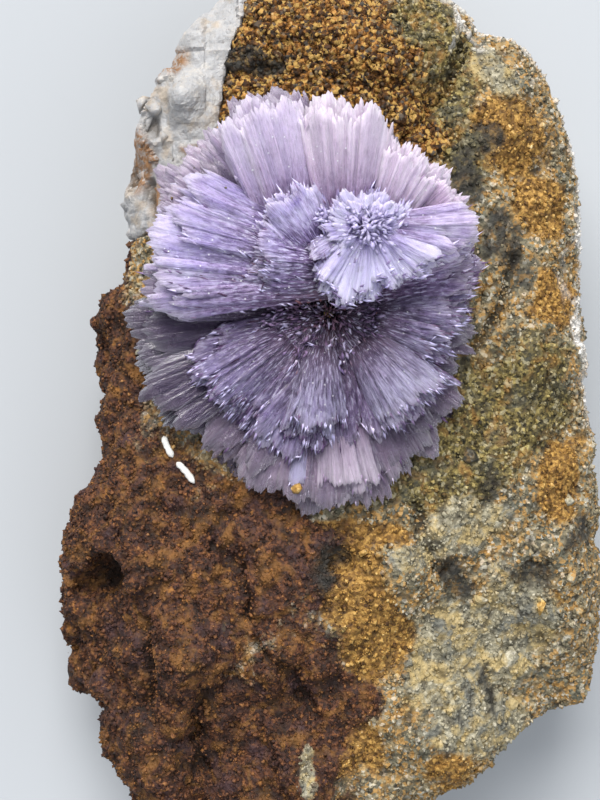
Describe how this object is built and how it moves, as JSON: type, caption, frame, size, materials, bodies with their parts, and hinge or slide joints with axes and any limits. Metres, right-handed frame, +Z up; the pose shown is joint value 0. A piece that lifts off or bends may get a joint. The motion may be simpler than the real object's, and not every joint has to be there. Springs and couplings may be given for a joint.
{
  "type": "creedite specimen",
  "caption": "Mineral specimen: a lilac rosette of creedite crystal sprays standing on iron-stained rock, with white quartz at the top left corner; it rests on its broken back.",
  "frame": {"origin": "on the surface the specimen lies on, under the middle of its bounding box", "axes": "+Z up out of the crystal face, +Y along the specimen's length to its quartz end, +X to the right as seen from above"},
  "size_m": [0.0588, 0.0956, 0.0388],
  "materials": {
    "rusty_rock": "granular iron-stained rock, dull, with tiny glinting grains",
    "white_quartz": "white to bluish quartz, slightly translucent, glinting",
    "lilac_creedite": "glassy translucent lilac crystal, frosted at the tips"
  },
  "bodies": {
    "root": {"matrix_rock": "rusty_rock", "quartz_block": "white_quartz", "creedite_rosette": "lilac_creedite"}
  },
  "joints": []
}
